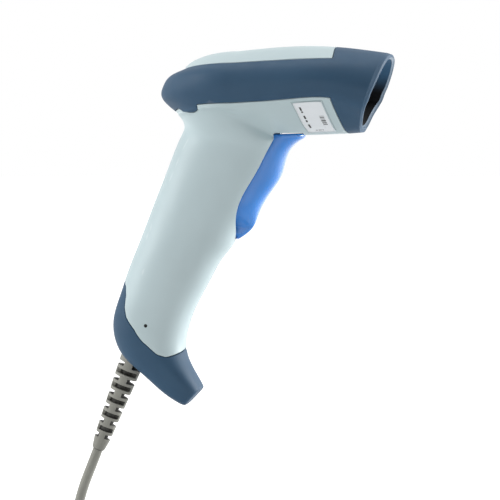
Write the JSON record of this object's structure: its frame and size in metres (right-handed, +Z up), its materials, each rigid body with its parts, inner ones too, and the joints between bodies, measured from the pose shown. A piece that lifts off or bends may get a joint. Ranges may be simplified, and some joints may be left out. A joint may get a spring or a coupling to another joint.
{
  "type": "handheld barcode scanner",
  "caption": "Pistol-grip laser barcode scanner: two-shell handle, housing with slanted nose, sprung trigger, oscillating-mirror engine, ribbed strain relief, coiled cable with a USB plug",
  "frame": {"origin": "middle of the grip, on its centre plane, where a hand holds the scanner", "axes": "+X towards the nose, +Z up, +Y towards the scanner's left; the casing is symmetric about the XZ plane"},
  "size_m": [0.154, 0.073, 0.2827],
  "materials": {
    "right_body_shell": "moulded ABS, pale grey-green, fine satin grain",
    "left_body_shell": "moulded ABS, pale grey-green, fine satin grain",
    "top_cover": "moulded ABS, pale grey-green, satin",
    "upper_housing": "moulded ABS, slate blue, fine satin grain",
    "butt_cap": "moulded ABS, slate blue, fine satin grain",
    "label_plate": "printed film label",
    "trigger": "moulded, bright blue, glossy",
    "trigger_pin": "ground pin",
    "trigger_spring": "drawn spring wire",
    "trigger_switch_body": "moulded switch body",
    "switch_plunger": "moulded plunger",
    "main_board": "fibreglass board, green mask",
    "decoder_chip": "epoxy package",
    "memory_chip": "epoxy package",
    "beeper": "moulded buzzer case",
    "cable_socket": "moulded connector",
    "engine_cable": "sleeved wire bundle",
    "board_screw_upper": "zinc-plated screw",
    "board_screw_lower": "zinc-plated screw",
    "modular_jack": "moulded jack",
    "modular_plug": "clear moulded plug",
    "engine_chassis": "die-cast zinc",
    "laser_barrel": "turned barrel",
    "laser_lens": "moulded lens",
    "scan_mirror": "front-silvered mirror",
    "mirror_magnet": "sintered magnet",
    "drive_coil": "enamelled copper winding",
    "photodiode": "filtered photodiode",
    "engine_board": "fibreglass board, green mask",
    "engine_screw_1": "zinc-plated screw",
    "engine_screw_2": "zinc-plated screw",
    "scan_window": "dark red acrylic window",
    "window_gasket": "moulded gasket",
    "body_screw_upper": "zinc-plated screw",
    "body_screw_middle": "zinc-plated screw",
    "body_screw_lower": "zinc-plated screw",
    "cable_boot": "grey moulded strain relief",
    "inner_cable": "grey cable jacket",
    "cord": "grey cable jacket",
    "cord_coil": "grey cable jacket",
    "cord_tie": "soft tie strap",
    "cord_tail": "grey cable jacket",
    "usb_overmould": "moulded plug grip",
    "usb_shell": "folded steel plug shell",
    "usb_tongue": "moulded contact tongue"
  },
  "bodies": {
    "casing": {"right_body_shell": "right_body_shell", "left_body_shell": "left_body_shell", "top_cover": "top_cover", "upper_housing": "upper_housing", "butt_cap": "butt_cap", "label_plate": "label_plate", "trigger_pin": "trigger_pin", "trigger_spring": "trigger_spring", "trigger_switch_body": "trigger_switch_body", "main_board": "main_board", "decoder_chip": "decoder_chip", "memory_chip": "memory_chip", "beeper": "beeper", "cable_socket": "cable_socket", "engine_cable": "engine_cable", "board_screw_upper": "board_screw_upper", "board_screw_lower": "board_screw_lower", "modular_jack": "modular_jack", "modular_plug": "modular_plug", "engine_chassis": "engine_chassis", "laser_barrel": "laser_barrel", "laser_lens": "laser_lens", "drive_coil": "drive_coil", "photodiode": "photodiode", "engine_board": "engine_board", "engine_screw_1": "engine_screw_1", "engine_screw_2": "engine_screw_2", "scan_window": "scan_window", "window_gasket": "window_gasket", "body_screw_upper": "body_screw_upper", "body_screw_middle": "body_screw_middle", "body_screw_lower": "body_screw_lower", "cable_boot": "cable_boot", "inner_cable": "inner_cable", "cord": "cord", "cord_coil": "cord_coil", "cord_tie": "cord_tie", "cord_tail": "cord_tail", "usb_overmould": "usb_overmould", "usb_shell": "usb_shell", "usb_tongue": "usb_tongue"},
    "trigger": {"trigger": "trigger"},
    "plunger": {"switch_plunger": "switch_plunger"},
    "mirror": {"scan_mirror": "scan_mirror", "mirror_magnet": "mirror_magnet"}
  },
  "joints": [
    {"name": "trigger_hinge", "type": "hinge", "parent": "casing", "child": "trigger", "pos_m": [0.044, 0, 0.0426], "axis": [0, 1, 0], "range_deg": [0, 3], "stiffness_Nm_per_rad": 1, "springref_deg": -1.72},
    {"name": "plunger_slide", "type": "slide", "parent": "casing", "child": "plunger", "axis": [-0.9311, 0, 0.3649], "range_m": [0, 0.002]},
    {"name": "mirror_hinge", "type": "hinge", "parent": "casing", "child": "mirror", "pos_m": [0.062, -0.001, 0.0546], "axis": [0, 0, 1], "range_deg": [-8, 8], "stiffness_Nm_per_rad": 0.002}
  ],
  "couplings": [
    {"joint": "plunger_slide", "follows": "trigger_hinge", "m_per_rad": 0.0352}
  ]
}
